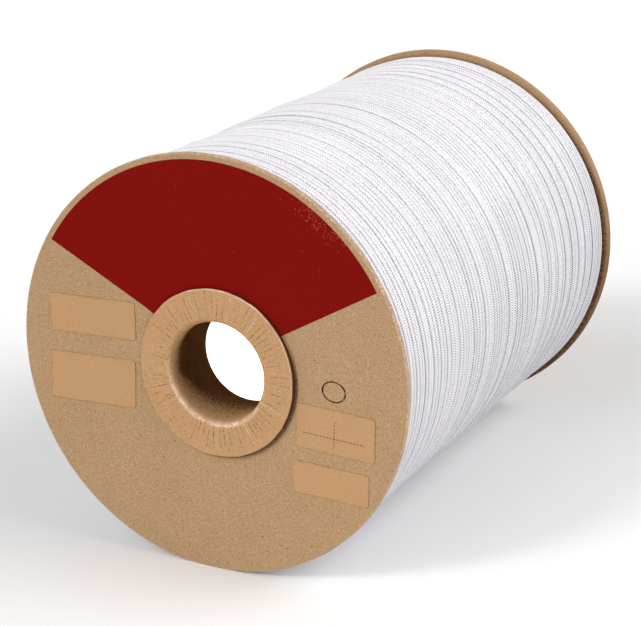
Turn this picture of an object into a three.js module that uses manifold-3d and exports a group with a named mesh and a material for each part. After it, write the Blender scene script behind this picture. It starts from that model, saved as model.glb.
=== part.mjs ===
// Roll of thin braided elastic cord on a kraft-board spool.
// Millimetres, +Z up. The spool lies on the rims of its two flanges, its axis level
// along Y, the printed flange facing -Y. The origin is on the resting plane, under
// the middle of the spool.

import * as THREE from 'three';
import { mergeVertices } from 'three/addons/utils/BufferGeometryUtils.js';
import Module from 'manifold-3d';

const wasm = await Module();
wasm.setup();

// ---- driving dimensions -------------------------------------------------

const FLANGE_R = 57.0;        // outer radius of both discs
const LENGTH = 151.0;         // overall, rim to rim
const BOARD = 1.7;            // thickness of the kraft board
const DISH = 3.2;             // how far the middle of a disc sits behind its rim
const DISH_FLAT_R = 24.0;     // the disc is flat inside this radius, conical outside
const GAP = 0.3;              // clearance between neighbouring pieces

const HUB_X = 1.0;            // the core is glued a little off the discs' centre
const HUB_Z = -2.0;
const BORE_R = 13.6;          // inner radius of the collar's sleeve
const LIP_R = 15.2;           // where the rounded lip meets the ring's flat face
const RING_R = 22.9;          // outer radius of the collar's ring
const RING_T = 0.9;           // ring thickness
const SLEEVE_R = 14.8;        // outer radius of the sleeve
const SLEEVE_END = 20.5;      // depth of the sleeve's inner end behind the rim
const HOLE_R = 15.2;          // hole in each disc, around the sleeve

const TUBE_IN_R = 15.3;       // core tube
const TUBE_OUT_R = 17.3;

const LABEL_T = 0.3;          // blank paper labels
const LABEL_GAP = 0.35;

const DISC_SEGMENTS = 96;     // a half step off centre leaves a flat foot below
const HUB_SEGMENTS = 64;
const CORD_SEGMENTS = 72;

// The flat foot: the rim is level between the two vertices 1.5 steps either side.
const FOOT_ANGLE = 1.5 * (2 * Math.PI / DISC_SEGMENTS);
const AXIS_Z = FLANGE_R * Math.cos(FOOT_ANGLE);

// Wound cord: its radius along the spool, from the front disc (0) to the rear (1).
const WOUND = [
  { at: 0.000, r: 53.9 },
  { at: 0.008, r: 54.7 },
  { at: 0.030, r: 55.2 },
  { at: 0.090, r: 55.0 },
  { at: 0.150, r: 55.3 },
  { at: 0.230, r: 55.1 },
  { at: 0.310, r: 55.4 },
  { at: 0.390, r: 55.2 },
  { at: 0.470, r: 55.0 },
  { at: 0.560, r: 55.3 },
  { at: 0.640, r: 55.1 },
  { at: 0.730, r: 55.3 },
  { at: 0.810, r: 55.0 },
  { at: 0.890, r: 55.2 },
  { at: 0.970, r: 55.0 },
  { at: 0.992, r: 54.6 },
  { at: 1.000, r: 53.8 },
];

// Labels on the printed face, seen from the front: centre and size.
const LABELS = [
  { name: 'label_a', x: -36.4, z: 8.1, width: 25.2, height: 10.7 },
  { name: 'label_b', x: -36.8, z: -9.7, width: 25.2, height: 13.5 },
  { name: 'label_c', x: 36.0, z: -12.2, width: 23.6, height: 12.0 },
  { name: 'label_d', x: 35.0, z: -26.2, width: 22.6, height: 8.7 },
];

// ---- materials ----------------------------------------------------------

const kraft = () => new THREE.MeshStandardMaterial({ color: 0xb79672, roughness: 0.85, metalness: 0 });
const collar = () => new THREE.MeshStandardMaterial({ color: 0xc49a6e, roughness: 0.7, metalness: 0 });
const tubeWhite = () => new THREE.MeshStandardMaterial({ color: 0xf2f0ec, roughness: 0.8, metalness: 0 });
const cordWhite = () => new THREE.MeshStandardMaterial({ color: 0xf0eff4, roughness: 0.75, metalness: 0 });
const paper = () => new THREE.MeshStandardMaterial({ color: 0xc49b6c, roughness: 0.7, metalness: 0 });

// ---- shape helpers ------------------------------------------------------

// Merge shared vertices and make every face point outwards.
function closed(geometry) {
  const g = geometry.clone();
  for (const name of Object.keys(g.attributes)) if (name !== 'position') g.deleteAttribute(name);
  const merged = mergeVertices(g, 1e-4);
  const p = merged.attributes.position;
  const index = Array.from(merged.index.array);
  let volume = 0;
  const a = new THREE.Vector3(), b = new THREE.Vector3(), c = new THREE.Vector3();
  for (let i = 0; i < index.length; i += 3) {
    a.fromBufferAttribute(p, index[i]);
    b.fromBufferAttribute(p, index[i + 1]);
    c.fromBufferAttribute(p, index[i + 2]);
    volume += a.dot(b.cross(c)) / 6;
  }
  if (volume < 0) {
    for (let i = 0; i < index.length; i += 3) {
      const t = index[i + 1];
      index[i + 1] = index[i + 2];
      index[i + 2] = t;
    }
  }
  merged.setIndex(index);
  return merged;
}

function toSolid(geometry) {
  const g = closed(geometry);
  return new wasm.Manifold(new wasm.Mesh({
    numProp: 3,
    vertProperties: new Float32Array(g.attributes.position.array),
    triVerts: new Uint32Array(g.index.array),
  }));
}

function fromSolid(solid) {
  const m = solid.getMesh();
  const g = new THREE.BufferGeometry();
  g.setAttribute('position', new THREE.BufferAttribute(new Float32Array(m.vertProperties), 3));
  g.setIndex(Array.from(m.triVerts));
  return g;
}

// Turn a closed profile of [radius, depth] pairs about Y. Depth is measured inwards
// from the front rim plane; side -1 mirrors the piece to the rear end.
function turned(profile, segments, side = 1, phiStart = 0) {
  const pts = profile.map(([r, a]) => new THREE.Vector2(r, side * (a - LENGTH / 2)));
  pts.push(pts[0].clone());
  return new THREE.LatheGeometry(pts, segments, phiStart, Math.PI * 2);
}

// Depth of a disc's outer face at radius r.
const dish = (r) => (r <= DISH_FLAT_R ? DISH : DISH * (FLANGE_R - r) / (FLANGE_R - DISH_FLAT_R));

// The cylinder that clears the off-centre core.
function coreCutter(radius) {
  const g = new THREE.CylinderGeometry(radius, radius, LENGTH + 20, HUB_SEGMENTS);
  g.translate(HUB_X, 0, HUB_Z);
  return toSolid(g);
}

// ---- pieces -------------------------------------------------------------

function disc(side) {
  const inner = 8;
  const g = turned([
    [inner, DISH],
    [DISH_FLAT_R, DISH],
    [FLANGE_R, 0],
    [FLANGE_R, BOARD],
    [DISH_FLAT_R, DISH + BOARD],
    [inner, DISH + BOARD],
  ], DISC_SEGMENTS, side, Math.PI / DISC_SEGMENTS);
  const p = g.attributes.position;
  for (let i = 0; i < p.count; i++) if (p.getZ(i) < -AXIS_Z) p.setZ(i, -AXIS_Z);
  return fromSolid(toSolid(g).subtract(coreCutter(HOLE_R)));
}

function hub(side) {
  const face = DISH - GAP - RING_T;       // depth of the ring's outer face
  const profile = [];
  const steps = 5;
  for (let i = 0; i <= steps; i++) {      // rounded lip, from the bore to the face
    const t = (i / steps) * Math.PI / 2;
    profile.push([LIP_R - (LIP_R - BORE_R) * Math.cos(t), face + 1.8 * (1 - Math.sin(t))]);
  }
  profile.push([RING_R - 0.4, face]);
  profile.push([RING_R, face + 0.4]);
  profile.push([RING_R, face + RING_T]);
  profile.push([SLEEVE_R, face + RING_T]);
  profile.push([SLEEVE_R, SLEEVE_END]);
  profile.push([BORE_R, SLEEVE_END]);
  const g = closed(turned(profile, HUB_SEGMENTS, side));
  g.translate(HUB_X, 0, HUB_Z);
  return g;
}

function tube() {
  const start = DISH + BOARD + GAP;
  const g = closed(turned([
    [TUBE_IN_R, start],
    [TUBE_OUT_R, start],
    [TUBE_OUT_R, LENGTH - start],
    [TUBE_IN_R, LENGTH - start],
  ], HUB_SEGMENTS));
  g.translate(HUB_X, 0, HUB_Z);
  return g;
}

function woundCord() {
  const first = dish(WOUND[0].r) + BOARD + GAP;
  const last = LENGTH - dish(WOUND[WOUND.length - 1].r) - BOARD - GAP;
  const hubEnd = DISH + BOARD + GAP;
  const inner = 10;
  const profile = [[inner, hubEnd], [DISH_FLAT_R, hubEnd]];
  for (const s of WOUND) profile.push([s.r, first + (last - first) * s.at]);
  profile.push([DISH_FLAT_R, LENGTH - hubEnd], [inner, LENGTH - hubEnd]);
  return fromSolid(toSolid(turned(profile, CORD_SEGMENTS)).subtract(coreCutter(TUBE_OUT_R + GAP)));
}

// A thin label lying on the conical face of the front disc.
function label(spec) {
  const mesh = new THREE.Mesh(new THREE.BoxGeometry(spec.width, LABEL_T, spec.height), paper());
  const r = Math.hypot(spec.x, spec.z);
  const slope = DISH / (FLANGE_R - DISH_FLAT_R);
  const inward = new THREE.Vector3(slope * spec.x / r, 1, slope * spec.z / r).normalize();
  const across = new THREE.Vector3(1, 0, 0).addScaledVector(inward, -inward.x).normalize();
  const up = new THREE.Vector3().crossVectors(across, inward);
  mesh.quaternion.setFromRotationMatrix(new THREE.Matrix4().makeBasis(across, inward, up));
  mesh.position.set(spec.x, dish(r) - LENGTH / 2, spec.z)
    .addScaledVector(inward, -(LABEL_GAP + LABEL_T / 2));
  return mesh;
}

// ---- assembly -----------------------------------------------------------

const spool = new THREE.Group();
spool.position.set(0, 0, AXIS_Z);

function add(name, geometry, material) {
  const mesh = new THREE.Mesh(geometry, material);
  mesh.name = name;
  spool.add(mesh);
}

add('flange_front', disc(1), kraft());
add('flange_rear', disc(-1), kraft());
add('hub_front', hub(1), collar());
add('hub_rear', hub(-1), collar());
add('core_tube', tube(), tubeWhite());
add('wound_cord', woundCord(), cordWhite());
for (const spec of LABELS) {
  const mesh = label(spec);
  mesh.name = spec.name;
  spool.add(mesh);
}

const group = new THREE.Group();
group.add(spool);
group.updateMatrixWorld(true);

export default group;
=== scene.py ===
import math

import bpy
import numpy as np
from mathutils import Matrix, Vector


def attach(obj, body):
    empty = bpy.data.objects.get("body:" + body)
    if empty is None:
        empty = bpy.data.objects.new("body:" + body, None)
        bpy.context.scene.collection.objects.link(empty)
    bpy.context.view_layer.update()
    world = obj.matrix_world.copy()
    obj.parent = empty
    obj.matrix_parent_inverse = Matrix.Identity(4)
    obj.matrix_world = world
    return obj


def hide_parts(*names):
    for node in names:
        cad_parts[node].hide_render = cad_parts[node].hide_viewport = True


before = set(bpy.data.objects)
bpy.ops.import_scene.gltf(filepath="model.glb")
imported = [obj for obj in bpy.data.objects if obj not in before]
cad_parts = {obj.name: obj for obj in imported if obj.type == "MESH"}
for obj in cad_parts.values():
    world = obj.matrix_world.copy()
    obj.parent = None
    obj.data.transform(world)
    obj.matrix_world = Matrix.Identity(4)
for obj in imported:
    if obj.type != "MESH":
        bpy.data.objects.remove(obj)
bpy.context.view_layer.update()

# ---------------------------------------------------------------------------
# Sizes, in millimetres. They repeat the construction's own.
# ---------------------------------------------------------------------------
R = 57.0
HALF = 75.5
BOARD = 1.7
DISH = 3.2
DISH_FLAT = 24.0
FOOT = 1.5 * (2 * math.pi / 96)
AXIS_Z = R * math.cos(FOOT)
HUB_X, HUB_Z = 1.0, -2.0
BORE_R = 13.6
LIP_R = 15.2
RING_R = 22.9
RING_T = 0.9
SLEEVE_R = 14.8
SLEEVE_END = 20.5
HOLE_R = 15.2
TUBE_IN, TUBE_OUT = 15.3, 17.3
RING_FACE = DISH - 0.3 - RING_T
TAU = 2 * math.pi

# ---------------------------------------------------------------------------
# Camera
# ---------------------------------------------------------------------------
cam_data = bpy.data.cameras.new("camera")
cam = bpy.data.objects.new("camera", cam_data)
bpy.context.scene.collection.objects.link(cam)
cam_data.sensor_width = 36.0
cam_data.sensor_fit = "HORIZONTAL"
cam_data.lens = 112.63
cam_data.clip_start = 0.01
cam_data.clip_end = 50.0
CAM_YAW, CAM_PITCH = math.radians(26.958), math.radians(18.5635)
cam.location = (0.2475, -0.4979, 0.23593)
cam.rotation_euler = (math.pi / 2 - CAM_PITCH, 0.0, CAM_YAW)
bpy.context.scene.camera = cam

# ---------------------------------------------------------------------------
# Small helpers
# ---------------------------------------------------------------------------


def smooth_noise(x, scale, seed, wrap=None):
    """Smooth random curve with knots every `scale`, between about -1 and 1."""
    rng = np.random.RandomState(seed)
    x = np.asarray(x, float) / scale
    n = int(wrap) if wrap else int(np.max(x)) + 6
    k = rng.uniform(-1, 1, n)
    i = np.floor(x).astype(int)
    f = x - i
    g = lambda j: k[(i + j) % n]
    a, b, c, d = g(-1), g(0), g(1), g(2)
    return 0.5 * ((2 * b) + (-a + c) * f + (2 * a - 5 * b + 4 * c - d) * f**2 + (-a + 3 * b - 3 * c + d) * f**3)


def ring_noise(theta, knots, seed):
    """The same, closed round a circle."""
    return smooth_noise(np.mod(theta, TAU) / TAU * knots, 1.0, seed, wrap=knots)


def make_mesh(node, co_mm, quads, smooth=True):
    """co_mm (n, 3) in millimetres about the spool's axis; quads (m, 4). Named after its node."""
    name = "look_" + node
    me = bpy.data.meshes.new(name)
    co = np.asarray(co_mm, np.float64).copy()
    co[:, 2] += AXIS_Z
    me.from_pydata([], [], [])
    me.vertices.add(len(co))
    me.vertices.foreach_set("co", (co * 0.001).astype(np.float32).ravel())
    quads = np.asarray(quads, np.int32)
    me.loops.add(quads.size)
    me.loops.foreach_set("vertex_index", quads.ravel())
    me.polygons.add(len(quads))
    me.polygons.foreach_set("loop_start", np.arange(0, quads.size, 4, dtype=np.int32))
    me.update(calc_edges=True)
    me.validate(verbose=False)
    me.polygons.foreach_set("use_smooth", np.full(len(me.polygons), smooth))
    ob = bpy.data.objects.new(name, me)
    bpy.context.scene.collection.objects.link(ob)
    return ob


def signed_volume(co, quads):
    a, b, c, d = (co[quads[:, i]] for i in range(4))
    return float(np.einsum("ij,ij->i", a, np.cross(b, c)).sum() + np.einsum("ij,ij->i", a, np.cross(c, d)).sum()) / 6


def grid_quads(rows, cols, close_rows=False):
    """Quads of a grid of rows x cols whose columns close round the circle."""
    i = np.arange(rows if close_rows else rows - 1)[:, None]
    j = np.arange(cols)[None, :]
    a = i * cols + j
    b = i * cols + (j + 1) % cols
    c = ((i + 1) % rows) * cols + (j + 1) % cols
    d = ((i + 1) % rows) * cols + j
    return np.stack([a, b, c, d], -1).reshape(-1, 4)


def point_attribute(ob, name, values):
    at = ob.data.attributes.new(name, "FLOAT", "POINT")
    at.data.foreach_set("value", np.asarray(values, np.float32).ravel())


def srgb(r, g, b, k=1.0):
    """A screen colour as a linear one, scaled by k."""
    f = lambda c: (c / 255 / 12.92) if c / 255 <= 0.04045 else ((c / 255 + 0.055) / 1.055) ** 2.4
    return (f(r) * k, f(g) * k, f(b) * k, 1.0)


# ---------------------------------------------------------------------------
# Materials
# ---------------------------------------------------------------------------


class Nodes:
    """A few short calls for building a node tree."""

    def __init__(self, name, roughness=0.8, specular=0.3):
        self.mat = bpy.data.materials.new(name)
        self.mat.use_nodes = True
        self.t = self.mat.node_tree
        self.t.nodes.clear()
        self.out = self.t.nodes.new("ShaderNodeOutputMaterial")
        self.bsdf = self.t.nodes.new("ShaderNodeBsdfPrincipled")
        self.t.links.new(self.bsdf.outputs[0], self.out.inputs[0])
        self.bsdf.inputs["Roughness"].default_value = roughness
        self.bsdf.inputs["Specular IOR Level"].default_value = specular
        self.geo = self.t.nodes.new("ShaderNodeTexCoord").outputs["Object"]

    def put(self, sock, value):
        if hasattr(value, "is_output"):
            self.t.links.new(value, sock)
        else:
            sock.default_value = value

    def math(self, op, a, b=0.0, c=0.0, clamp=False):
        n = self.t.nodes.new("ShaderNodeMath")
        n.operation = op
        n.use_clamp = clamp
        for s, v in zip(n.inputs, (a, b, c)):
            self.put(s, v)
        return n.outputs[0]

    def mapping(self, vec, scale=(1, 1, 1), loc=(0, 0, 0)):
        n = self.t.nodes.new("ShaderNodeMapping")
        self.put(n.inputs["Vector"], vec)
        n.inputs["Scale"].default_value = scale
        n.inputs["Location"].default_value = loc
        return n.outputs[0]

    def xyz(self, vec):
        n = self.t.nodes.new("ShaderNodeSeparateXYZ")
        self.put(n.inputs[0], vec)
        return n.outputs

    def noise(self, scale, detail=2.0, rough=0.5, vec=None, distortion=0.0):
        n = self.t.nodes.new("ShaderNodeTexNoise")
        self.put(n.inputs["Vector"], vec if vec is not None else self.geo)
        n.inputs["Scale"].default_value = scale
        n.inputs["Detail"].default_value = detail
        n.inputs["Roughness"].default_value = rough
        n.inputs["Distortion"].default_value = distortion
        return n.outputs["Fac"]

    def cells(self, scale, vec=None):
        n = self.t.nodes.new("ShaderNodeTexVoronoi")
        self.put(n.inputs["Vector"], vec if vec is not None else self.geo)
        n.inputs["Scale"].default_value = scale
        return n.outputs["Distance"], n.outputs["Color"]

    def ramp(self, fac, lo, hi, a=0.0, b=1.0):
        n = self.t.nodes.new("ShaderNodeMapRange")
        n.clamp = True
        self.put(n.inputs["Value"], fac)
        n.inputs["From Min"].default_value = lo
        n.inputs["From Max"].default_value = hi
        n.inputs["To Min"].default_value = a
        n.inputs["To Max"].default_value = b
        return n.outputs[0]

    def mix(self, fac, a, b, mode="MIX"):
        n = self.t.nodes.new("ShaderNodeMix")
        n.data_type = "RGBA"
        n.blend_type = mode
        self.put(n.inputs[0], fac)
        self.put(n.inputs[6], a)
        self.put(n.inputs[7], b)
        return n.outputs[2]

    def attribute(self, name):
        n = self.t.nodes.new("ShaderNodeAttribute")
        n.attribute_name = name
        return n.outputs["Fac"]

    def bump(self, height, strength, distance, normal=None):
        n = self.t.nodes.new("ShaderNodeBump")
        n.inputs["Strength"].default_value = strength
        n.inputs["Distance"].default_value = distance
        self.put(n.inputs["Height"], height)
        if normal is not None:
            self.put(n.inputs["Normal"], normal)
        return n.outputs[0]

    def finish(self, color, normal=None, roughness=None):
        self.put(self.bsdf.inputs["Base Color"], color)
        if normal is not None:
            self.put(self.bsdf.inputs["Normal"], normal)
        if roughness is not None:
            self.put(self.bsdf.inputs["Roughness"], roughness)
        return self.mat


K_BOARD, K_INK, K_COLLAR, K_LABEL, K_CORD, K_EDGE = 0.828, 0.80, 0.805, 0.805, 0.92, 0.80
KRAFT = srgb(178, 145, 108, K_BOARD)
KRAFT_DARK = srgb(148, 115, 78, K_BOARD)
KRAFT_LIGHT = srgb(202, 171, 134, K_BOARD)


def kraft_ground(n, mid, dark, light):
    """Kraft paper: fine fibre mottling, soft clouds and sparse dark specks."""
    fine = n.noise(3200, 3, 0.7)
    cloud = n.noise(70, 3, 0.55)
    fibre = n.noise(900, 3, 0.6, vec=n.mapping(n.geo, (1.0, 1.0, 2.2)), distortion=0.8)
    col = n.mix(n.ramp(fine, 0.38, 0.64), dark, light)
    col = n.mix(0.30, col, mid)
    col = n.mix(n.ramp(fibre, 0.5, 0.72, 0.0, 0.25), col, light)
    col = n.mix(n.ramp(cloud, 0.35, 0.65, 0.0, 0.10), col, dark)
    # sparse dark flecks, the way recycled board has them
    d, c = n.cells(330)
    pick = n.ramp(n.xyz(c)[0], 0.40, 0.42)
    speck = n.math("MULTIPLY", n.ramp(d, 0.05, 0.075, 1.0, 0.0), pick)
    col = n.mix(n.math("MULTIPLY", speck, 0.85), col, srgb(70, 46, 26))
    height = n.math("ADD", n.math("MULTIPLY", fine, 0.6), n.math("MULTIPLY", fibre, 0.5))
    return col, height, fine


def kraft_material(name, printed=False):
    n = Nodes(name, 0.9, 0.04)
    col, height, fine = kraft_ground(n, KRAFT, KRAFT_DARK, KRAFT_LIGHT)
    if not printed:
        # painted shade: the board is darkened where it meets the cord, most of all low on the right, where the cord's
        # shadow falls
        board_shade_amount = n.math("MULTIPLY", n.attribute("board_shade"), n.ramp(n.noise(1700, 2, 0.7), 0.38, 0.56, 0.55, 1.0))
        col = n.mix(board_shade_amount, col, srgb(82, 44, 18, K_BOARD))
        return n.finish(col, n.bump(height, 0.35, 0.00008))
    p = n.xyz(n.geo)
    rough_edge = n.math("MULTIPLY", n.math("SUBTRACT", n.noise(2600, 2), 0.5), 0.00022)
    x = n.math("ADD", p[0], rough_edge)
    z = n.math("ADD", n.math("SUBTRACT", p[2], AXIS_Z * 0.001), rough_edge)
    # the printed sector: above two straight edges that meet near the middle, inside a margin
    right = n.math("SUBTRACT", z, n.math("MULTIPLY_ADD", x, 0.586, -0.00077))
    left = n.math("SUBTRACT", z, n.math("MULTIPLY_ADD", x, -0.592, 0.00039))
    rad = n.math("SQRT", n.math("ADD", n.math("MULTIPLY", x, x), n.math("MULTIPLY", z, z)))
    m = n.math("MULTIPLY", n.math("GREATER_THAN", right, 0.0), n.math("GREATER_THAN", left, 0.0))
    m = n.math("MULTIPLY", m, n.math("LESS_THAN", rad, 0.0554))
    # thin ink: pinholes where the board shows; more of them towards the right-hand end, where they are a painted sheen
    band = n.math("MULTIPLY", n.ramp(p[0], 0.020, 0.029), n.ramp(z, 0.033, 0.040))
    sheen_pinholes = n.math("MULTIPLY", band, n.ramp(rad, 0.0475, 0.0540, 0.0, 0.20))
    pinhole_and_sheen = n.math("GREATER_THAN", n.math("ADD", n.noise(2700, 0, 0.5), sheen_pinholes), 0.86)
    ink = n.mix(n.ramp(fine, 0.35, 0.68), srgb(122, 12, 8, K_INK), srgb(130, 15, 11, K_INK))
    ink = n.mix(n.ramp(n.noise(45, 3), 0.35, 0.7, 0.0, 0.18), ink, srgb(136, 19, 14, K_INK))
    ink = n.mix(n.math("MULTIPLY", pinhole_and_sheen, 0.50), ink, srgb(190, 104, 84, K_INK))
    col = n.mix(m, col, ink)
    # painted shadow: the board is darkened along the ring's lower and right edge, where the ring's shadow falls
    gx = n.math("SUBTRACT", x, HUB_X * 0.001)
    gz = n.math("SUBTRACT", z, HUB_Z * 0.001)
    gr = n.math("SQRT", n.math("ADD", n.math("MULTIPLY", gx, gx), n.math("MULTIPLY", gz, gz)))
    side_on = n.math("DIVIDE", n.math("ADD", n.math("MULTIPLY", gx, 0.47), n.math("MULTIPLY", gz, -0.88)), gr)
    painted_ring_shadow = n.math("MULTIPLY", n.ramp(gr, (RING_R + 0.55) * 0.001, (RING_R + 0.95) * 0.001, 1.0, 0.0), n.ramp(side_on, -0.25, 0.4))
    painted_ring_shadow = n.math("MULTIPLY", painted_ring_shadow, n.ramp(n.noise(1500, 3, 0.7), 0.36, 0.6, 0.6, 1.0))
    col = n.mix(n.math("MULTIPLY", painted_ring_shadow, 0.72), col, srgb(88, 54, 31))
    # an empty stamped oval
    ex = n.math("DIVIDE", n.math("SUBTRACT", x, 0.0354), 0.0034)
    ez = n.math("DIVIDE", n.math("ADD", z, 0.0013), 0.0027)
    er = n.math("SQRT", n.math("ADD", n.math("MULTIPLY", ex, ex), n.math("MULTIPLY", ez, ez)))
    ring = n.math("LESS_THAN", n.math("ABSOLUTE", n.math("SUBTRACT", er, 1.0)), 0.075)
    faint = n.ramp(n.noise(900, 2), 0.34, 0.5, 0.55, 1.0)
    col = n.mix(n.math("MULTIPLY", ring, faint), col, srgb(52, 32, 22))
    return n.finish(col, n.bump(height, 0.35, 0.00008))


def board_edge_material(name, painted_highlight):
    """The cut edge of the board: paler, with the plies showing as fine lines."""
    n = Nodes(name, 0.85, 0.1)
    ply = n.noise(1.0, 3, 0.6, vec=n.mapping(n.geo, (160, 5200, 160)))
    fine = n.noise(1700, 3, 0.6)
    fray_and_highlight = n.noise(1300, 2, 0.7)
    # the front edge is painted paler, with more pale flecks, as a painted highlight; the rear edge is plainer
    if painted_highlight:
        col = n.mix(n.ramp(ply, 0.35, 0.65), srgb(176, 139, 108, K_EDGE), srgb(208, 174, 147, K_EDGE))
    else:
        col = n.mix(n.ramp(ply, 0.35, 0.65), srgb(168, 133, 94, K_EDGE), srgb(192, 157, 118, K_EDGE))
    col = n.mix(n.ramp(fray_and_highlight, 0.52, 0.60, 0.0, 0.55 if painted_highlight else 0.15), col, srgb(240, 218, 200, K_EDGE))
    col = n.mix(n.ramp(fine, 0.4, 0.65, 0.0, 0.3), col, srgb(158, 122, 91, K_EDGE))
    if not painted_highlight:
        # painted shade on the rear rim's lower right, where it faces away from the light
        board_shade_amount = n.math("MULTIPLY", n.attribute("board_shade"), n.ramp(n.noise(1700, 2, 0.7), 0.38, 0.56, 0.55, 1.0))
        col = n.mix(board_shade_amount, col, srgb(82, 44, 18, K_BOARD))
    return n.finish(col, n.bump(ply, 0.5, 0.00012))


def collar_material():
    """Smoother kraft than the board's, cut into many fine radial tabs round the ring."""
    n = Nodes("collar_kraft", 0.8, 0.0)
    fine = n.noise(1800, 3, 0.6)
    cloud = n.noise(90, 3, 0.5)
    col = n.mix(n.ramp(fine, 0.35, 0.65), srgb(190, 147, 104, K_COLLAR), srgb(204, 161, 118, K_COLLAR))
    col = n.mix(n.ramp(cloud, 0.35, 0.7, 0.0, 0.22), col, srgb(186, 142, 99, K_COLLAR))
    p = n.xyz(n.geo)
    dx = n.math("SUBTRACT", p[0], HUB_X * 0.001)
    dz = n.math("SUBTRACT", p[2], (AXIS_Z + HUB_Z) * 0.001)
    rad = n.math("MULTIPLY", n.math("SQRT", n.math("ADD", n.math("MULTIPLY", dx, dx), n.math("MULTIPLY", dz, dz))), 1000.0)
    s, u, tone = n.attribute("cut_s"), n.attribute("cut_u"), n.attribute("cut_t")
    near = n.math("LESS_THAN", u, 0.4)
    # one coordinate along the cut, another that differs from cut to cut
    vec = n.t.nodes.new("ShaderNodeCombineXYZ")
    n.put(vec.inputs[0], rad)
    n.put(vec.inputs[1], n.math("MULTIPLY", tone, 57.0))
    dash = n.noise(1.7, 2, 0.7, vec=vec.outputs[0])
    off = n.math("MULTIPLY", n.math("SUBTRACT", n.noise(0.55, 1, 0.5, vec=vec.outputs[0]), 0.5), 0.22)
    across = n.math("ABSOLUTE", n.math("ADD", s, off))
    cut = n.math("MULTIPLY", n.math("MULTIPLY", n.ramp(across, 0.055, 0.10, 1.0, 0.0), near), n.attribute("cut_in"))
    dark = n.math("MULTIPLY", cut, n.math("MULTIPLY", n.ramp(dash, 0.49, 0.56), n.math("LESS_THAN", tone, 0.86)))
    faint = n.math("MULTIPLY", cut, n.ramp(dash, 0.35, 0.6, 0.08, 0.25))
    pale = n.math("MULTIPLY", cut, n.math("MULTIPLY", n.ramp(dash, 0.47, 0.58), n.math("GREATER_THAN", tone, 0.86)))
    # painted highlights: the lip is painted pale on its lower left, and the ring's rounded rim pale on its upper right,
    # where light catches them
    edge = n.attribute("edge")
    lip_highlight = n.attribute("lip_highlight")
    highlight_amount = n.ramp(n.noise(1500, 3, 0.6), 0.34, 0.62, 0.25, 1.0)
    col = n.mix(n.math("MULTIPLY", lip_highlight, highlight_amount), col, srgb(240, 214, 196))
    col = n.mix(n.math("MULTIPLY", edge, n.ramp(n.noise(800, 2), 0.3, 0.6, 0.6, 1.0)), col, srgb(240, 212, 192))
    col = n.mix(faint, col, srgb(150, 108, 70, K_COLLAR))
    col = n.mix(n.math("MULTIPLY", dark, 0.86), col, srgb(66, 36, 14, K_COLLAR))
    col = n.mix(n.math("MULTIPLY", pale, 0.7), col, srgb(240, 214, 188))
    # painted shade: the inside of the sleeve is painted dark brown, more so further into the bore, with scuffed speckle
    deep = n.math("ADD", n.attribute("inside"), n.math("MULTIPLY", n.math("SUBTRACT", n.noise(2300, 2, 0.8), 0.5), 1.9), clamp=True)
    inner = n.mix(n.ramp(n.noise(260, 3), 0.35, 0.65), srgb(66, 40, 19), srgb(75, 47, 24))
    col = n.mix(n.ramp(deep, 0.05, 0.95), col, inner)
    # painted shade: the ring's cut outer edge, below its rounded top, and its underside are painted dark brown
    col = n.mix(n.math("MULTIPLY", n.attribute("ring_wall_shade"), 0.9), col, srgb(98, 60, 35))
    height = n.math("SUBTRACT", n.math("MULTIPLY", fine, 0.5), n.math("MULTIPLY", cut, 1.2))
    return n.finish(col, n.bump(height, 0.3, 0.00007))


def label_material(name, rules=False):
    n = Nodes(name, 0.7, 0.06)
    fine = n.noise(2200, 3, 0.6)
    col = n.mix(n.ramp(fine, 0.35, 0.68), srgb(188, 145, 102, K_LABEL), srgb(200, 157, 114, K_LABEL))
    col = n.mix(n.ramp(n.noise(120, 2), 0.4, 0.7, 0.0, 0.2), col, srgb(186, 143, 99, K_LABEL))
    # painted shade: a thin, broken darker line round the label's edge, standing in for its shadow line
    edge = n.math("MULTIPLY", n.attribute("edge"), n.ramp(n.noise(700, 2), 0.4, 0.62))
    col = n.mix(n.math("MULTIPLY", edge, 0.45), col, srgb(148, 108, 70, K_LABEL))
    if rules:
        p = n.xyz(n.geo)
        z = n.math("SUBTRACT", p[2], AXIS_Z * 0.001)

        def dots(v):
            return n.math("GREATER_THAN", n.math("FRACT", n.math("DIVIDE", v, 0.0010)), 0.38)

        def between(v, lo, hi):
            return n.math("MULTIPLY", n.math("GREATER_THAN", v, lo), n.math("LESS_THAN", v, hi))

        flat = n.math("LESS_THAN", n.math("ABSOLUTE", n.math("ADD", z, 0.0139)), 0.00012)
        row = n.math("MULTIPLY", n.math("MULTIPLY", flat, between(p[0], 0.0262, 0.0447)), dots(p[0]))
        thin = n.math("LESS_THAN", n.math("ABSOLUTE", n.math("SUBTRACT", p[0], 0.0357)), 0.00012)
        col_rule = n.math("MULTIPLY", n.math("MULTIPLY", thin, between(z, -0.0164, -0.0092)), dots(z))
        ink = n.math("MAXIMUM", row, col_rule)
        col = n.mix(n.math("MULTIPLY", ink, 0.9), col, srgb(74, 46, 28))
    return n.finish(col, n.bump(fine, 0.2, 0.00005))


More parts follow.
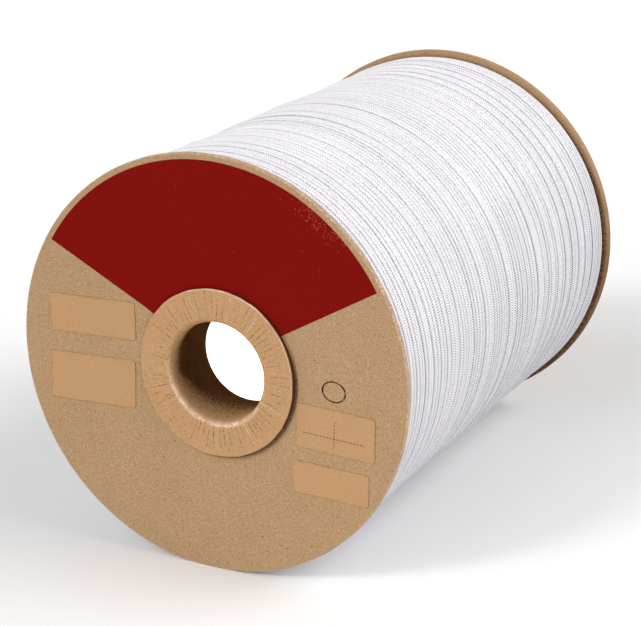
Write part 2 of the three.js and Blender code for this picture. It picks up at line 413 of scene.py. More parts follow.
def cord_material():
    """White braided yarn. The braid map runs along the cord (u) and across it (v)."""
    n = Nodes("cord_yarn", 0.8, 0.1)
    uv = n.t.nodes.new("ShaderNodeUVMap")
    uv.uv_map = "braid"
    u, v, _ = n.xyz(uv.outputs[0])
    av = n.math("ABSOLUTE", v)
    # slanted stitches that meet on the cord's middle line
    slant = n.math("ADD", u, n.math("MULTIPLY", av, 0.7))
    wave = n.math("MULTIPLY_ADD", n.math("SINE", n.math("MULTIPLY", slant, TAU)), 0.5, 0.5)
    stitch = n.math("POWER", wave, 0.9)
    spine = n.ramp(av, 0.0, 0.18)
    height = n.math("MULTIPLY", stitch, n.math("MULTIPLY_ADD", spine, 0.45, 0.55))
    yarn = n.noise(5200, 2, 0.6)
    height = n.math("ADD", height, n.math("MULTIPLY", yarn, 0.25))
    stitch_shade = n.attribute("stitch_shade")                        # painted shade in the stitches' hollows: 1 on the sides and underside, less on top
    tone = n.noise(28, 3, 0.6)
    fibre_speckle = n.noise(2600, 2, 0.85)
    col = n.mix(n.ramp(tone, 0.35, 0.65), srgb(246, 244, 249, K_CORD), srgb(254, 251, 255, K_CORD))
    patchy = n.ramp(n.noise(600, 3, 0.7), 0.34, 0.62, 0.76, 1.0)
    # painted shade in the hollows between stitches
    col = n.mix(n.math("MULTIPLY", n.math("MULTIPLY", n.ramp(height, 0.10, 0.66, 1.0, 0.0), patchy), stitch_shade), col, srgb(86, 84, 94, K_CORD))
    # grey fibre speckle, weighted round the spool; heavier low down and on the sides as painted shade
    col = n.mix(n.math("MULTIPLY", n.ramp(fibre_speckle, 0.38, 0.50, 1.0, 0.0), n.attribute("speckle_shade")), col, srgb(142, 140, 149, K_CORD))
    # painted shade: the seam between two turns of a band opens at every stitch, painted as a row of dark dots
    gap = n.math("POWER", n.math("SUBTRACT", 1.0, wave), 1.5)
    seam = n.math("MULTIPLY", n.ramp(av, 0.66, 0.94), n.attribute("seam"))
    seam = n.math("MULTIPLY", seam, n.math("MULTIPLY_ADD", gap, 0.85, 0.15))
    seam = n.math("MULTIPLY", seam, n.ramp(n.noise(760, 2, 0.6), 0.34, 0.58, 0.25, 1.0))
    col = n.mix(n.math("MULTIPLY", seam, 0.95, clamp=True), col, srgb(88, 86, 94, K_CORD))
    # painted shade in the grooves between bands: thin, dark, broken up by stray fibres
    groove = n.attribute("groove")
    broken = n.ramp(n.noise(1100, 2, 0.6), 0.30, 0.58, 0.6, 1.0)
    g = n.math("MULTIPLY", n.math("POWER", groove, 0.85), broken)
    col = n.mix(n.math("MULTIPLY", g, 0.86, clamp=True), col, srgb(88, 86, 93, K_CORD))
    return n.finish(col, n.bump(n.math("MULTIPLY", height, n.math("MULTIPLY_ADD", stitch_shade, 0.6, 0.4)), 0.45, 0.00016))


def tube_material():
    n = Nodes("tube_paper", 0.7, 0.2)
    fine = n.noise(1400, 3, 0.55)
    # the spiral seam of a wound paper tube
    p = n.xyz(n.geo)
    ang = n.math("ARCTAN2", n.math("SUBTRACT", p[2], (AXIS_Z + HUB_Z) * 0.001), n.math("SUBTRACT", p[0], HUB_X * 0.001))
    turn = n.math("FRACT", n.math("ADD", n.math("DIVIDE", ang, TAU), n.math("DIVIDE", p[1], 0.052)))
    seam = n.math("LESS_THAN", n.math("ABSOLUTE", n.math("SUBTRACT", turn, 0.5)), 0.006)
    col = n.mix(n.ramp(fine, 0.35, 0.68), srgb(240, 238, 234), srgb(250, 249, 247))
    col = n.mix(n.math("MULTIPLY", seam, 0.4), col, srgb(198, 192, 184))
    return n.finish(col, n.bump(fine, 0.2, 0.00005))


MAT_KRAFT = kraft_material("kraft_board")
MAT_PRINT = kraft_material("kraft_printed", printed=True)
MAT_EDGE = board_edge_material("board_edge", True)
MAT_EDGE_REAR = board_edge_material("board_edge_rear", False)
MAT_COLLAR = collar_material()
MAT_LABEL = label_material("label_paper")
MAT_LABEL_RULED = label_material("label_paper_ruled", rules=True)
MAT_CORD = cord_material()
MAT_TUBE = tube_material()

# ---------------------------------------------------------------------------
# Board discs
# ---------------------------------------------------------------------------


def dish(r):
    return np.where(r <= DISH_FLAT, DISH, DISH * (R - r) / (R - DISH_FLAT))


def warp(x, z, seed):
    """Slight unevenness of the pressed board, in mm along the axis: none at the hub."""
    r = np.hypot(x, z)
    th = np.arctan2(z, x)
    k = np.clip((r - DISH_FLAT) / (R - DISH_FLAT), 0, 1) ** 1.5
    return k * (0.10 * np.sin(2 * th + seed) + 0.06 * np.sin(3 * th + 2.1 * seed) + 0.03 * ring_noise(th, 17, 31 + int(seed)))


def face_depth(x, z, seed):
    """Depth of a disc's outer face behind its rim plane."""
    r = np.hypot(x, z)
    soft = 2.5          # the fold between flat and cone is a soft bend
    t = np.clip((r - (DISH_FLAT - soft)) / (2 * soft), 0, 1)
    slope = DISH / (R - DISH_FLAT)
    a = np.where(r < DISH_FLAT - soft, DISH,
                 np.where(r > DISH_FLAT + soft, DISH - slope * (r - DISH_FLAT), DISH - slope * soft * t * t))
    return a - warp(x, z, seed)


def place_y(a, side):
    return side * (a - HALF)


def make_disc(name, side, seed):
    cols = 288
    th = (np.arange(cols) + 0.5) / cols * TAU - math.pi / 2
    rows = []           # each row: (kind, radius fraction) walked from the hole's edge outwards
    board_shade = []
    stops = np.concatenate([[0.0, 0.01], np.linspace(0.035, 0.965, 26), [0.972, 0.979, 0.986, 0.993]])
    e = 0.22            # rounding of the cut edge
    profile = [("out", s) for s in stops]
    for i in range(5):
        w = i / 4 * math.pi / 2
        profile.append(("round_out", w))
    for i in range(1, 4):
        profile.append(("edge", i / 4))
    for i in range(5):
        w = i / 4 * math.pi / 2
        profile.append(("round_in", w))
    profile += [("in", s) for s in stops[::-1]]
    ragged = 0.05 * ring_noise(th, 96, 77 + int(seed)) + 0.03 * ring_noise(th, 210, 5 + int(seed))
    for kind, s in profile:
        if kind in ("out", "in"):
            r_hole, r_out = HOLE_R, R - e
            rr = r_hole + (r_out - r_hole) * s
            k = np.clip(1 - s * 3.0, 0, 1)
            k = k * k * (3 - 2 * k)
            x = HUB_X * k + rr * np.cos(th)
            z = HUB_Z * k + rr * np.sin(th)
            a = face_depth(x, z, seed) + (BOARD if kind == "in" else 0.0)
        else:
            if kind == "round_out":
                rr, da = R - e + e * math.sin(s), e * (1 - math.cos(s))
            elif kind == "edge":
                rr, da = R, e + (BOARD - 2 * e) * s
            else:
                rr, da = R - e + e * math.cos(s), BOARD - e + e * math.sin(s)
            x = rr * np.cos(th)
            z = rr * np.sin(th)
            a = face_depth(x, z, seed) + da
            x = x * (1 + ragged / R * 0.5)
            z = z * (1 + ragged / R * 0.5)
        z = np.maximum(z, -AXIS_Z)
        rows.append(np.stack([x, place_y(a, side), z], -1))
        # painted shade next to the cord: on the inner faces near the cord, strongest low on the right, and on the rear
        # rim's lower right, which faces away from the light
        low = np.clip((math.radians(8) - np.arctan2(z, x)) / math.radians(52), 0, 1) * (x > -5)
        mid = np.clip((math.radians(62) - np.arctan2(z, x)) / math.radians(45), 0, 1) * (x > -5)
        rim_r = np.hypot(x, z)
        line = np.clip((55.75 - rim_r) / 0.35, 0, 1)
        half = np.clip((56.50 - rim_r) / 0.5, 0, 1)
        inner_face = 1.0 if kind == "in" or (kind == "round_in" and s > 0.7) else 0.0
        rim_shade = 0.85 * np.clip((math.radians(26) - np.arctan2(z, x)) / math.radians(36), 0, 1) * (x > -5)
        board_shade.append(np.where(inner_face > 0, np.clip(0.40 * line + 0.62 * mid * half + 0.80 * low, 0, 0.92),
                             rim_shade if side < 0 and kind not in ("out", "in") else 0.0))
    n_out = len(stops)
    co = np.concatenate(rows)
    quads = grid_quads(len(rows), cols, close_rows=True)
    row_of = np.repeat(np.arange(len(rows)), cols)
    if signed_volume(co, quads) < 0:
        quads = quads[:, ::-1]
    ob = make_mesh(name, co, quads)
    point_attribute(ob, "board_shade", np.concatenate(board_shade))
    front = MAT_PRINT if side > 0 else MAT_KRAFT
    for m in (front, MAT_EDGE if side > 0 else MAT_EDGE_REAR, MAT_KRAFT):
        ob.data.materials.append(m)
    idx = np.where(row_of < n_out, 0, np.where(row_of < n_out + 12, 1, 2))
    idx[row_of == len(rows) - 1] = 1
    ob.data.polygons.foreach_set("material_index", idx.astype(np.int32))
    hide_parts(name)
    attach(ob, "root")
    return ob


# ---------------------------------------------------------------------------
# Hub collars
# ---------------------------------------------------------------------------


def make_hub(name, side, seed):
    cols = 960
    rng = np.random.RandomState(seed)
    th = np.arange(cols) / cols * TAU
    prof = []           # (radius, depth)
    for a in np.linspace(SLEEVE_END, RING_FACE + 2.4, 14):
        prof.append((BORE_R, a))
    for i in range(1, 10):
        t = i / 9 * math.pi / 2
        prof.append((LIP_R - (LIP_R - BORE_R) * math.cos(t), RING_FACE + 1.8 * (1 - math.sin(t))))
    ring_start = len(prof)
    for r in np.linspace(LIP_R + 0.5, RING_R - 0.45, 15):
        prof.append((r, RING_FACE))
    for i in range(1, 5):
        w = i / 4 * math.pi / 2
        prof.append((RING_R - 0.45 + 0.45 * math.sin(w), RING_FACE + 0.45 * (1 - math.cos(w))))
    prof += [(RING_R, RING_FACE + RING_T), (SLEEVE_R + 0.6, RING_FACE + RING_T), (SLEEVE_R, RING_FACE + RING_T + 0.3)]
    prof += [(SLEEVE_R, SLEEVE_END - 0.2), ((SLEEVE_R + BORE_R) / 2, SLEEVE_END + 0.0)]
    prof = np.array(prof)
    rows = len(prof)
    r = np.repeat(prof[:, 0][:, None], cols, 1)
    a = np.repeat(prof[:, 1][:, None], cols, 1)
    edge = np.zeros((rows, cols))
    lip_highlight = np.zeros((rows, cols))
    # radial cuts where the tube's end was slit and spread over the board
    count = 74
    base = np.sort((np.arange(count) + rng.uniform(-0.24, 0.24, count)) / count * TAU)
    face_rows = np.zeros(rows)
    face_rows[ring_start - 4: ring_start + 19] = 1
    tabs = rng.uniform(-0.02, 0.02, count)
    tones = rng.uniform(0.0, 1.0, count)
    diff = np.mod(th[:, None] - base[None, :] + math.pi, TAU) - math.pi
    near = np.argmin(np.abs(diff), 1)
    arc = diff[np.arange(cols), near]
    step = arc[None, :] * prof[:, 0][:, None]            # mm to the nearest cut, signed
    tab_of = (np.searchsorted(base, th, side="right") - 1) % count
    on_ring = np.clip((prof[:, 0] - BORE_R - 0.25) / 0.5, 0, 1)
    a += (face_rows * on_ring)[:, None] * tabs[tab_of][None, :]
    start = LIP_R + rng.choice([-0.9, -0.2, 1.0, 3.4], p=[0.38, 0.27, 0.2, 0.15], size=count)
    stop = RING_R - rng.choice([0.1, 1.2, 3.0, 4.6], p=[0.2, 0.2, 0.3, 0.3], size=count)
    stop = np.maximum(stop, start + 1.4)
    ri = prof[:, 0][:, None]
    inside_cut = np.clip((ri - start[near][None, :]) / 0.4, 0, 1) * np.clip((stop[near][None, :] - ri) / 0.4, 0, 1)
    inside_cut = inside_cut * face_rows[:, None]
    a += 0.07 * np.exp(-(step / 0.13) ** 2) * inside_cut
    fade = 3.6 + 9.4 * np.clip(np.cos(th - math.radians(283)), 0, 1)      # painted shade in the bore sets in later along the bottom
    inside = np.clip((prof[:, 1][:, None] - (RING_FACE + 1.4)) / fade[None, :], 0, 1.6)
    inside = inside * ((prof[:, 0] < LIP_R - 0.2) * (np.arange(rows) < ring_start))[:, None]
    # painted shade on the ring's outer wall and underside
    ring_wall_shade = np.clip((prof[:, 1] - (RING_FACE + 0.34)) / 0.11, 0, 1) * (prof[:, 0] > SLEEVE_R + 0.3)
    # painted highlight: the lip is painted pale, most of all on its lower left, and it is a little uneven
    lip = np.exp(-((prof[:, 0] - (BORE_R + 0.80)) / 0.48) ** 2) * (prof[:, 1] < RING_FACE + 2.2)
    highlight_amount = 0.75 + 0.3 * ring_noise(th, 60, seed + 9)
    highlight_amount = highlight_amount * np.clip(0.12 + 1.0 * np.cos(th - math.radians(258)), 0.0, 1)
    lip_highlight[:] = lip[:, None] * np.clip(highlight_amount, 0, 1)[None, :]
    a += lip[:, None] * 0.05 * ring_noise(th, 46, seed + 3)[None, :]
    out = np.clip((prof[:, 0] - (RING_R - 0.9)) / 0.9, 0, 1) * face_rows
    # painted highlight: the ring's rounded rim is painted pale over its upper right
    rim = np.clip((prof[:, 0] - (RING_R - 0.42)) / 0.3, 0, 1) * (prof[:, 1] < RING_FACE + 0.5)
    painted_highlight = np.clip(0.02 + 0.85 * np.cos(th - math.radians(62)), 0.0, 1)
    edge = np.maximum(edge, rim[:, None] * (painted_highlight * np.clip(0.75 + 0.3 * ring_noise(th, 50, seed + 6), 0.3, 1.0))[None, :])
    # the ring's free edge stands a little proud of the board below and on the right
    lifted = 0.90 * np.clip(0.5 + np.cos(th - math.radians(-62)), 0, 1) * np.clip((prof[:, 0][:, None] - 19.6) / (RING_R - 19.6), 0, 1) ** 2
    a -= lifted * face_rows[:, None]
    r += (out * 0.07)[:, None] * ring_noise(th, 70, seed + 4)[None, :]
    x = HUB_X + r * np.cos(th)[None, :]
    z = HUB_Z + r * np.sin(th)[None, :]
    co = np.stack([x, place_y(a, side), z], -1).reshape(-1, 3)
    quads = grid_quads(rows, cols, close_rows=True)
    if signed_volume(co, quads) < 0:
        quads = quads[:, ::-1]
    ob = make_mesh(name, co, quads)
    point_attribute(ob, "cut_s", step)
    point_attribute(ob, "cut_u", np.abs(step))
    point_attribute(ob, "cut_t", np.broadcast_to(tones[near][None, :], (rows, cols)))
    point_attribute(ob, "cut_in", inside_cut)
    point_attribute(ob, "inside", inside)
    point_attribute(ob, "ring_wall_shade", np.broadcast_to(ring_wall_shade[:, None], (rows, cols)))
    point_attribute(ob, "edge", edge)
    point_attribute(ob, "lip_highlight", lip_highlight)
    ob.data.materials.append(MAT_COLLAR)
    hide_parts(name)
    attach(ob, "root")
    return ob


# ---------------------------------------------------------------------------
# Core tube
# ---------------------------------------------------------------------------


def make_tube():
    cols = 160
    th = np.arange(cols) / cols * TAU
    a0, a1 = DISH + BOARD + 0.3, 2 * HALF - DISH - BOARD - 0.3
    prof = [(TUBE_IN, a) for a in np.linspace(a1 - 0.1, a0 + 0.1, 40)]
    prof += [(TUBE_IN + 0.12, a0), (TUBE_OUT - 0.12, a0)]
    prof += [(TUBE_OUT, a) for a in np.linspace(a0 + 0.1, a1 - 0.1, 10)]
    prof += [(TUBE_OUT - 0.12, a1), (TUBE_IN + 0.12, a1)]
    prof = np.array(prof)
    x = HUB_X + prof[:, 0][:, None] * np.cos(th)
    z = HUB_Z + prof[:, 0][:, None] * np.sin(th)
    y = np.repeat((prof[:, 1] - HALF)[:, None], cols, 1)
    co = np.stack([x, y, z], -1).reshape(-1, 3)
    quads = grid_quads(len(prof), cols, close_rows=True)
    if signed_volume(co, quads) < 0:
        quads = quads[:, ::-1]
    ob = make_mesh("core_tube", co, quads)
    ob.data.materials.append(MAT_TUBE)
    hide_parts("core_tube")
    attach(ob, "root")
    return ob


# ---------------------------------------------------------------------------
# Labels
# ---------------------------------------------------------------------------


def make_label(name, cx, cz, w, h, seed, ruled=False):
    nx, nz = 56, 28
    rng = np.random.RandomState(seed)
    rc = 1.0            # corner rounding
    us = np.concatenate([[-1, -0.985], np.linspace(-0.95, 0.95, nx - 4), [0.985, 1]])
    vs = np.concatenate([[-1, -0.97], np.linspace(-0.92, 0.92, nz - 4), [0.97, 1]])
    U, V = np.meshgrid(us, vs)
    x, z = U * w / 2, V * h / 2
    # round the corners by drawing each one in
    ax = np.clip(np.abs(x) - (w / 2 - rc), 0, rc)
    az = np.clip(np.abs(z) - (h / 2 - rc), 0, rc)
    far = np.hypot(ax, az)
    k = np.where(far > 1e-6, np.minimum(1.0, np.maximum(ax, az) / np.maximum(far, 1e-6)), 1.0)
    x = np.sign(x) * (np.abs(x) - ax + ax * k)
    z = np.sign(z) * (np.abs(z) - az + az * k)
    ang = math.radians(rng.uniform(-0.5, 0.5))
    X = cx + x * math.cos(ang) - z * math.sin(ang)
    Z = cz + x * math.sin(ang) + z * math.cos(ang)
    border = np.minimum(w / 2 - np.abs(x), h / 2 - np.abs(z))
    lift = 0.05 + 0.02 * smooth_noise(U * 3 + 5, 1.0, seed) * smooth_noise(V * 3 + 5, 1.0, seed + 1)
    lift = lift + 0.10 * np.clip(np.abs(U) + np.abs(V) - 1.75, 0, 1) * rng.uniform(0.2, 1.2)
    t = 0.09
    top = face_depth(X, Z, 1.0) - lift - t
    bot = face_depth(X, Z, 1.0) - lift
    rows, cols = X.shape
    co = np.concatenate([np.stack([X, place_y(top, 1), Z], -1).reshape(-1, 3),
                         np.stack([X, place_y(bot, 1), Z], -1).reshape(-1, 3)])
    idx = np.arange(rows * cols).reshape(rows, cols)
    n = rows * cols
    q = [np.stack([idx[:-1, :-1], idx[:-1, 1:], idx[1:, 1:], idx[1:, :-1]], -1).reshape(-1, 4)]
    q.append(q[0][:, ::-1] + n)
    rim = np.concatenate([idx[0, :], idx[1:, -1], idx[-1, -2::-1], idx[-2:0:-1, 0]])
    nxt = np.roll(rim, -1)
    q.append(np.stack([nxt, rim, rim + n, nxt + n], -1))
    quads = np.concatenate(q)
    if signed_volume(co, quads) < 0:
        quads = quads[:, ::-1]
    ob = make_mesh(name, co, quads)
    e = np.exp(-(border / 0.30) ** 2).ravel()
    point_attribute(ob, "edge", np.concatenate([e, e]))
    ob.data.materials.append(MAT_LABEL_RULED if ruled else MAT_LABEL)
    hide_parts(name)
    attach(ob, "root")
    return ob


# ---------------------------------------------------------------------------
# Wound cord
# ---------------------------------------------------------------------------


def make_winding():
    """The outermost layer. Three turns lie side by side in each band, and the bands run
    round the spool as one long helix, so every groove goes on into the next turn."""
    steps = 200                      # round the spool
    bands = 26
    lead = lambda r: DISH * (R - r) / (R - DISH_FLAT) + BOARD + 0.3
    y0 = lead(54.6) - HALF
    y1 = -y0
    pitch = (y1 - y0) / bands
    seg = 6                          # across each turn
    turns = 3
    rows_per = turns * seg

    def valley(n):
        n = np.asarray(n, float)
        ease = np.clip(n, 0, 1) * np.clip(bands - n, 0, 1)
        w = 0.26 * smooth_noise(n, 0.21, 11) + 0.42 * smooth_noise(n, 0.83, 12) + 0.5 * smooth_noise(n, 3.7, 13)
        return y0 + pitch * n + ease * w

    def edge(n):
        return np.where(n < 0, y0, np.where(n > bands, y1, valley(np.clip(n, 0, bands))))

    total = (bands + 1) * steps
    n = np.arange(total + 1) / steps                 # turns of the band so far
    lo, hi = edge(n - 1), edge(n)
    lo = np.where(n <= 1, y0, lo)
    hi = np.where(n >= bands, y1, hi)
    width = hi - lo
    full = np.clip(width / pitch, 0.0, 1.25)

    def base(y):
        u = (y - y0) / (y1 - y0)
        body = 55.25 + 0.16 * np.sin(TAU * 2.3 * u + 0.4) + 0.10 * np.sin(TAU * 5.1 * u + 1.9)
        shoulder = 0.9 * np.exp(-((y - y0) / 1.1) ** 2) + 0.9 * np.exp(-((y1 - y) / 1.1) ** 2)
        return body - shoulder

    def major(n):                                    # depth of the groove between bands
        d = 0.92 + 0.28 * smooth_noise(n, 0.33, 21) + 0.30 * smooth_noise(n, 1.9, 22)
        return np.clip(d, 0.30, 1.35)

    def minor(n, k):                                 # depth between turns of one band
        d = 0.50 + 0.22 * smooth_noise(n, 0.27, 31 + k) + 0.30 * smooth_noise(n, 1.3, 41 + k)
        return np.clip(d, 0.12, 0.95)

    cuts = [lo]
    for k in (1, 2):
        f = k / 3 + 0.030 * smooth_noise(n, 0.31, 51 + k) + 0.022 * smooth_noise(n, 1.7, 61 + k)
        cuts.append(lo + width * f)
    cuts.append(hi)
    # the slack gathers on top, so the underside is packed tighter and smoother
    turn = np.mod(n, 1.0) * 360.0 - 90.0             # degrees round the spool, 0 towards +X
    gap_to = np.minimum(np.abs(turn + 78.0), np.abs(turn - 282.0))
    slack = 0.42 + 0.58 * np.clip((gap_to - 22.0) / 42.0, 0, 1) ** 1.0
    off = np.mod(turn - 42.0 + 180.0, 360.0) - 180.0
    gape = np.clip((off - 28.0) / 26.0, 0, 1) * np.clip((130.0 - off) / 26.0, 0, 1)      # wider open over the top
    slack = slack * (1.0 - 0.15 * np.exp(-(off / 34.0) ** 2) + 0.15 * gape)
    low_depth = np.where(n <= 1, major(np.zeros_like(n)), major(np.clip(n - 1, 0, bands))) * slack
    high_depth = major(np.clip(n, 0, bands)) * slack
    depths = [low_depth, minor(n, 1) * slack, minor(n, 2) * slack, high_depth]
    y_rows, r_rows, g_rows, s_rows = [], [], [], []
    # painted shade in the grooves: how dark a groove is painted follows its depth
    dark = [np.clip((d - 0.05) / 1.05, 0.05, 1.0) for d in depths]
    squeeze = np.clip(full, 0.12, 1.0)
    # the painted groove shade is a little lighter on the upper right than over the top
    tint = np.clip(0.96 + (np.abs(off) - 15.0) / 120.0, 0.96, 1.0 + 0.22 * gape)
    for k in range(turns):
        a, b = cuts[k], cuts[k + 1]
        c, w = (a + b) / 2, (b - a) / 2
        crown = base(c) + 0.09 * smooth_noise(n, 0.24, 71 + k) + 0.11 * smooth_noise(n, 1.1, 81 + k)
        # a valley shared by two bands takes one radius from its own place along the helix
        va = base(a) - depths[k] * (1.0 if k == 0 else squeeze)
        vb = base(b) - depths[k + 1] * (1.0 if k == turns - 1 else squeeze)
        for j in range(seg):
            al = -math.pi / 2 + math.pi * j / seg
            side_r = va if al < 0 else vb
            outer = (k == 0 and al < 0) or (k == turns - 1 and al > 0)
            # the shade of a groove lies mostly on the flank that faces the printed end
            lit = al > 0
            fall = {90: 1.0, 60: (0.52 if lit else 0.78) if outer else (0.28 if lit else 0.48),
                    30: 0.06 if outer else 0.02, 0: 0.0}[round(abs(math.degrees(al)))]
            side = round(math.degrees(al))
            wide = {-60: 0.88 if outer else 0.60, -30: 0.20 if outer else 0.08}.get(side, fall)
            shade = fall + np.maximum(wide - fall, 0.0) * gape
            g_rows.append(np.clip(shade * tint * (dark[k] if al < 0 else dark[k + 1]), 0, 1))
            s_rows.append(np.zeros_like(n) if outer else np.clip(0.25 + 0.9 * (dark[k] if al < 0 else dark[k + 1]), 0, 1))
            yy = c + w * math.sin(al)
            # each band is rounded: its outer turns lie lower than the middle one
            across = np.where(width > 1e-6, (yy - lo) / np.maximum(width, 1e-6) * 2 - 1, 0.0)
            y_rows.append(yy)
            r_rows.append(side_r + (crown - side_r) * max(math.cos(al), 0.0) ** 0.62 - 0.14 * np.abs(across) ** 3 * math.cos(al) * squeeze)
    Y = np.array(y_rows)                             # rows_per x (total + 1)
    RR = np.array(r_rows)
    # vertices: point (i, j) has index i * rows_per + j
    th = -math.pi / 2 + n * TAU
    x = RR * np.cos(th)[None, :]
    z = RR * np.sin(th)[None, :]
    co = np.stack([x.T, Y.T, z.T], -1).reshape(-1, 3)
    groove = np.array(g_rows).T.reshape(-1)
    seam = np.array(s_rows).T.reshape(-1)
    count = len(co)
    # closing circle at the far disc: the upper edge of the last turn
    last = np.arange(total - steps, total + 1)
    yc = np.full(len(last), y1)
    rc = base(yc) - major(np.full(len(last), float(bands))) * slack[last]
    top = np.stack([rc * np.cos(th[last]), yc, rc * np.sin(th[last])], -1)
    co = np.concatenate([co, top])
    groove = np.concatenate([groove, np.full(len(top), 0.8)])
    seam = np.concatenate([seam, np.zeros(len(top))])
    i = np.arange(total)
    quads, uvs = [], []
    per_turn = 505.37                                # stitches round one turn
    for j in range(rows_per):
        a = i * rows_per + j
        b = (i + 1) * rows_per + j
        if j < rows_per - 1:
            c, d = (i + 1) * rows_per + j + 1, i * rows_per + j + 1
        else:
            up = i + steps
            here = up <= total
            d = np.where(here, up * rows_per, count + (i - (total - steps)))
            up1 = i + 1 + steps
            here1 = up1 <= total
            c = np.where(here1, up1 * rows_per, count + (i + 1 - (total - steps)))
        quads.append(np.stack([a, b, c, d], -1))
        k = j // seg
        along = n * per_turn + 0.37 * k + 2.4 * smooth_noise(n, 0.09, 91 + k) + 5.0 * smooth_noise(n, 0.7, 95 + k)
        u_a, u_b = along[:-1], along[1:]
        v0 = math.sin(-math.pi / 2 + math.pi * (j % seg) / seg)
        v1 = math.sin(-math.pi / 2 + math.pi * (j % seg + 1) / seg)
        uv = np.empty((total, 4, 2))
        uv[:, 0] = np.stack([u_a, np.full(total, v0)], -1)
        uv[:, 1] = np.stack([u_b, np.full(total, v0)], -1)
        uv[:, 2] = np.stack([u_b, np.full(total, v1)], -1)
        uv[:, 3] = np.stack([u_a, np.full(total, v1)], -1)
        uvs.append(uv)
    return co, quads, uvs, dict(steps=steps, rows_per=rows_per, total=total, count=count, y0=y0, y1=y1,
                                base=base, th=th, groove=groove, seam=seam)


def build_winding():
    co, quads, uvs, q = make_winding()
    steps, rows_per, total, count = q["steps"], q["rows_per"], q["total"], q["count"]
    # end faces and the hole for the core: rows of rings joined to the two boundary circles
    first_circle = np.array([i * rows_per for i in range(steps)])
    last_circle = np.array([count + k for k in range(steps)])
    th = q["th"][:steps]
    rings = []
    ends = []
    inner = TUBE_OUT + 0.3

    def end_depth(r):
        return float(dish(np.array(r))) + BOARD + 0.3

    for r in (50.0, 38.0, 24.0):
        rings.append(np.stack([r * np.cos(th), np.full(steps, end_depth(r) - HALF), r * np.sin(th)], -1))
    rings.append(np.stack([HUB_X + inner * np.cos(th), np.full(steps, end_depth(20) - HALF), HUB_Z + inner * np.sin(th)], -1))
    rings.append(np.stack([HUB_X + inner * np.cos(th), np.full(steps, HALF - end_depth(20)), HUB_Z + inner * np.sin(th)], -1))
    for r in (24.0, 38.0, 50.0):
        rings.append(np.stack([r * np.cos(th), np.full(steps, HALF - end_depth(r)), r * np.sin(th)], -1))
    start = len(co)
    co = np.concatenate([co] + rings)
    loops = [first_circle] + [start + k * steps + np.arange(steps) for k in range(len(rings))] + [last_circle]
    cap = []
    for a, b in zip(loops[:-1], loops[1:]):
        cap.append(np.stack([a, b, np.roll(b, -1), np.roll(a, -1)], -1))
    cap = np.concatenate(cap)
    all_quads = np.concatenate(quads + [cap])
    uv = np.concatenate(uvs + [np.zeros((len(cap), 4, 2))])
    # drop the faces that have no area where the first and last turns taper to nothing
    me = bpy.data.meshes.new("look_wound_cord")
    place = co.copy()
    place[:, 2] += AXIS_Z
    key = np.round(place, 4)
    _, keep, back = np.unique(key, axis=0, return_index=True, return_inverse=True)
    back = back.reshape(-1)
    pts = place[keep]
    faces = back[all_quads]
    polys, puv = [], []
    same = (faces[:, 0] == faces[:, 1]) | (faces[:, 1] == faces[:, 2]) | (faces[:, 2] == faces[:, 3]) | (faces[:, 3] == faces[:, 0]) | (faces[:, 0] == faces[:, 2]) | (faces[:, 1] == faces[:, 3])
    flip = None
    for f, w in zip(faces[same], uv[same]):
        ring, ruv = [], []
        for v, t in zip(f, w):
            if v not in ring:
                ring.append(int(v)); ruv.append(t)
        if len(ring) >= 3:
            polys.append(ring); puv.append(ruv)
    good, guv = faces[~same], uv[~same]
    if signed_volume(pts, good) < 0:
        good, guv = good[:, ::-1], guv[:, ::-1]
        polys = [p[::-1] for p in polys]
        puv = [p[::-1] for p in puv]
    me.vertices.add(len(pts))
    me.vertices.foreach_set("co", (pts * 0.001).astype(np.float32).ravel())
    flat = np.concatenate([good.ravel()] + [np.array(p) for p in polys]) if polys else good.ravel()
    sizes = np.concatenate([np.full(len(good), 4), np.array([len(p) for p in polys], int)])
    me.loops.add(len(flat))
    me.loops.foreach_set("vertex_index", flat.astype(np.int32))
    me.polygons.add(len(sizes))
    me.polygons.foreach_set("loop_start", np.concatenate([[0], np.cumsum(sizes)[:-1]]).astype(np.int32))
    layer = me.uv_layers.new(name="braid")
    flat_uv = np.concatenate([guv.reshape(-1, 2)] + [np.array(p) for p in puv]) if puv else guv.reshape(-1, 2)
    me.update(calc_edges=True)
    layer.data.foreach_set("uv", flat_uv.astype(np.float32).ravel())
    me.polygons.foreach_set("use_smooth", np.full(len(me.polygons), True))
    me.update()
    ob = bpy.data.objects.new("look_wound_cord", me)
    bpy.context.scene.collection.objects.link(ob)
    groove = np.concatenate([q["groove"], np.zeros(len(co) - len(q["groove"]))])[keep]
    point_attribute(ob, "groove", groove)
    seam = np.concatenate([q["seam"], np.zeros(len(co) - len(q["seam"]))])[keep]
    point_attribute(ob, "seam", seam)
    rise = pts[:, 2] - AXIS_Z
    rise = rise / np.maximum(np.hypot(pts[:, 0], rise), 1e-6)
    # painted shade in the stitches' hollows: strongest on the sides and underside, least on top
    point_attribute(ob, "stitch_shade", np.clip(1.0 - (rise - 0.10) / 0.75, 0.34, 1.0))
    # weight of the fibre speckle round the spool; the heavier weight low down is painted shade
    where = np.mod(np.degrees(np.arctan2(pts[:, 2] - AXIS_Z, pts[:, 0])) + 90.0, 360.0) - 90.0
    point_attribute(ob, "speckle_shade", np.interp(where, [-90, -45, -15, 8, 32, 62, 84, 100, 150, 185, 215, 270],
                                           [0.66, 0.66, 0.42, 0.15, 0.56, 0.64, 0.36, 0.15, 0.18, 0.36, 0.50, 0.66]))
    ob.data.materials.append(MAT_CORD)
    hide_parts("wound_cord")
    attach(ob, "root")
    return ob


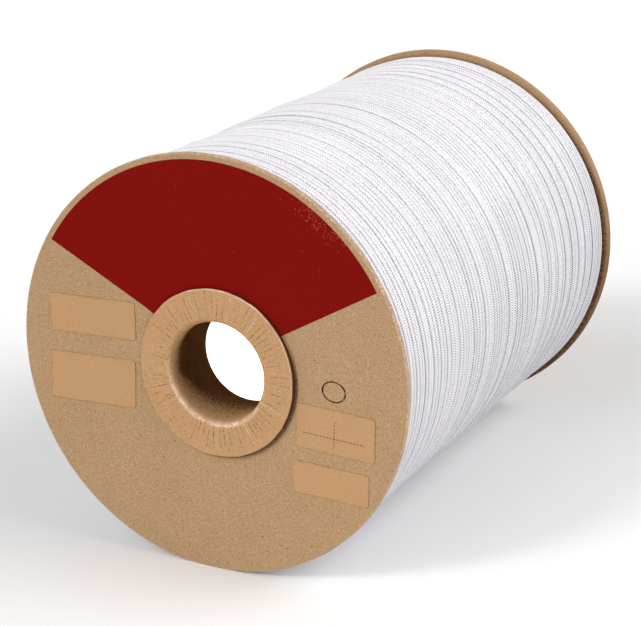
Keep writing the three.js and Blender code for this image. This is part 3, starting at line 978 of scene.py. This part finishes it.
# ---------------------------------------------------------------------------
# Make the pieces
# ---------------------------------------------------------------------------
make_disc("flange_front", 1, 1.0)
make_disc("flange_rear", -1, 4.0)
make_hub("hub_front", 1, 5)
make_hub("hub_rear", -1, 8)
make_tube()
make_label("label_a", -36.4, 8.1, 25.2, 10.7, 1)
make_label("label_b", -36.8, -9.7, 25.2, 13.5, 2)
make_label("label_c", 36.0, -12.2, 23.6, 12.0, 3, ruled=True)
make_label("label_d", 35.0, -26.2, 22.6, 8.7, 4)
build_winding()

# ---------------------------------------------------------------------------
# Stage and light
# ---------------------------------------------------------------------------
floor_me = bpy.data.meshes.new("floor")
floor_me.from_pydata([(-6, -6, 0), (6, -6, 0), (6, 6, 0), (-6, 6, 0)], [], [(0, 1, 2, 3)])
floor = bpy.data.objects.new("floor", floor_me)
bpy.context.scene.collection.objects.link(floor)
fn = Nodes("floor_paper", 0.9, 0.1)
floor_me.materials.append(fn.finish(fn.mix(fn.noise(3.0, 2), (0.82, 0.82, 0.82, 1), (0.83, 0.83, 0.83, 1))))

world = bpy.data.worlds.new("studio")
bpy.context.scene.world = world
world.use_nodes = True
bg = world.node_tree.nodes.get("Background") or world.node_tree.nodes.new("ShaderNodeBackground")
wt = world.node_tree
up = wt.nodes.new("ShaderNodeSeparateXYZ")
wt.links.new(wt.nodes.new("ShaderNodeTexCoord").outputs["Generated"], up.inputs[0])
fall_off = wt.nodes.new("ShaderNodeMapRange")
wt.links.new(up.outputs[2], fall_off.inputs["Value"])
for key, value in (("From Min", 0.28), ("From Max", 0.50), ("To Min", 0.92), ("To Max", 0.36)):
    fall_off.inputs[key].default_value = value
bg.inputs[0].default_value = (1.0, 1.0, 1.0, 1.0)
wt.links.new(fall_off.outputs[0], bg.inputs[1])
wo = world.node_tree.nodes.get("World Output") or world.node_tree.nodes.new("ShaderNodeOutputWorld")
world.node_tree.links.new(bg.outputs[0], wo.inputs[0])


def sun(name, towards, strength, angle):
    """A broad even light from the direction `towards`, `angle` degrees across."""
    d = bpy.data.lights.new(name, "SUN")
    d.energy = strength
    d.angle = math.radians(angle)
    o = bpy.data.objects.new(name, d)
    v = Vector(towards).normalized()
    o.location = v * 2.0
    o.rotation_euler = (-v).to_track_quat("-Z", "Y").to_euler()
    bpy.context.scene.collection.objects.link(o)
    return o


sun("key", (-0.30, -0.75, 0.59), 1.00, 46)
sun("key_core", (-0.30, -0.75, 0.59), 1.00, 12)
sun("fill", (0.80, 0.26, 0.68), 2.09, 42)

# a lamp inside the core that lights the white tube alone
spot = bpy.data.lights.new("core_lamp", "SPOT")
spot.energy = 0.055
spot.spot_size = math.radians(98)
spot.spot_blend = 0.12
spot.shadow_soft_size = 0.001
lamp = bpy.data.objects.new("core_lamp", spot)
lamp.location = ((HUB_X + 8.5) * 0.001, -0.040, (AXIS_Z + HUB_Z + 6.3) * 0.001)
lamp.rotation_euler = Vector((-0.80, 0.0, -0.59)).to_track_quat("-Z", "Y").to_euler()
lamp.visible_camera = False
bpy.context.scene.collection.objects.link(lamp)
lit = bpy.data.collections.new("lit_by_core_lamp")
lit.objects.link(bpy.data.objects["look_core_tube"])
lamp.light_linking.receiver_collection = lit

vs = bpy.context.scene.view_settings
vs.view_transform = "Standard"
vs.look = "None"
vs.exposure = 0.0
vs.gamma = 1.0
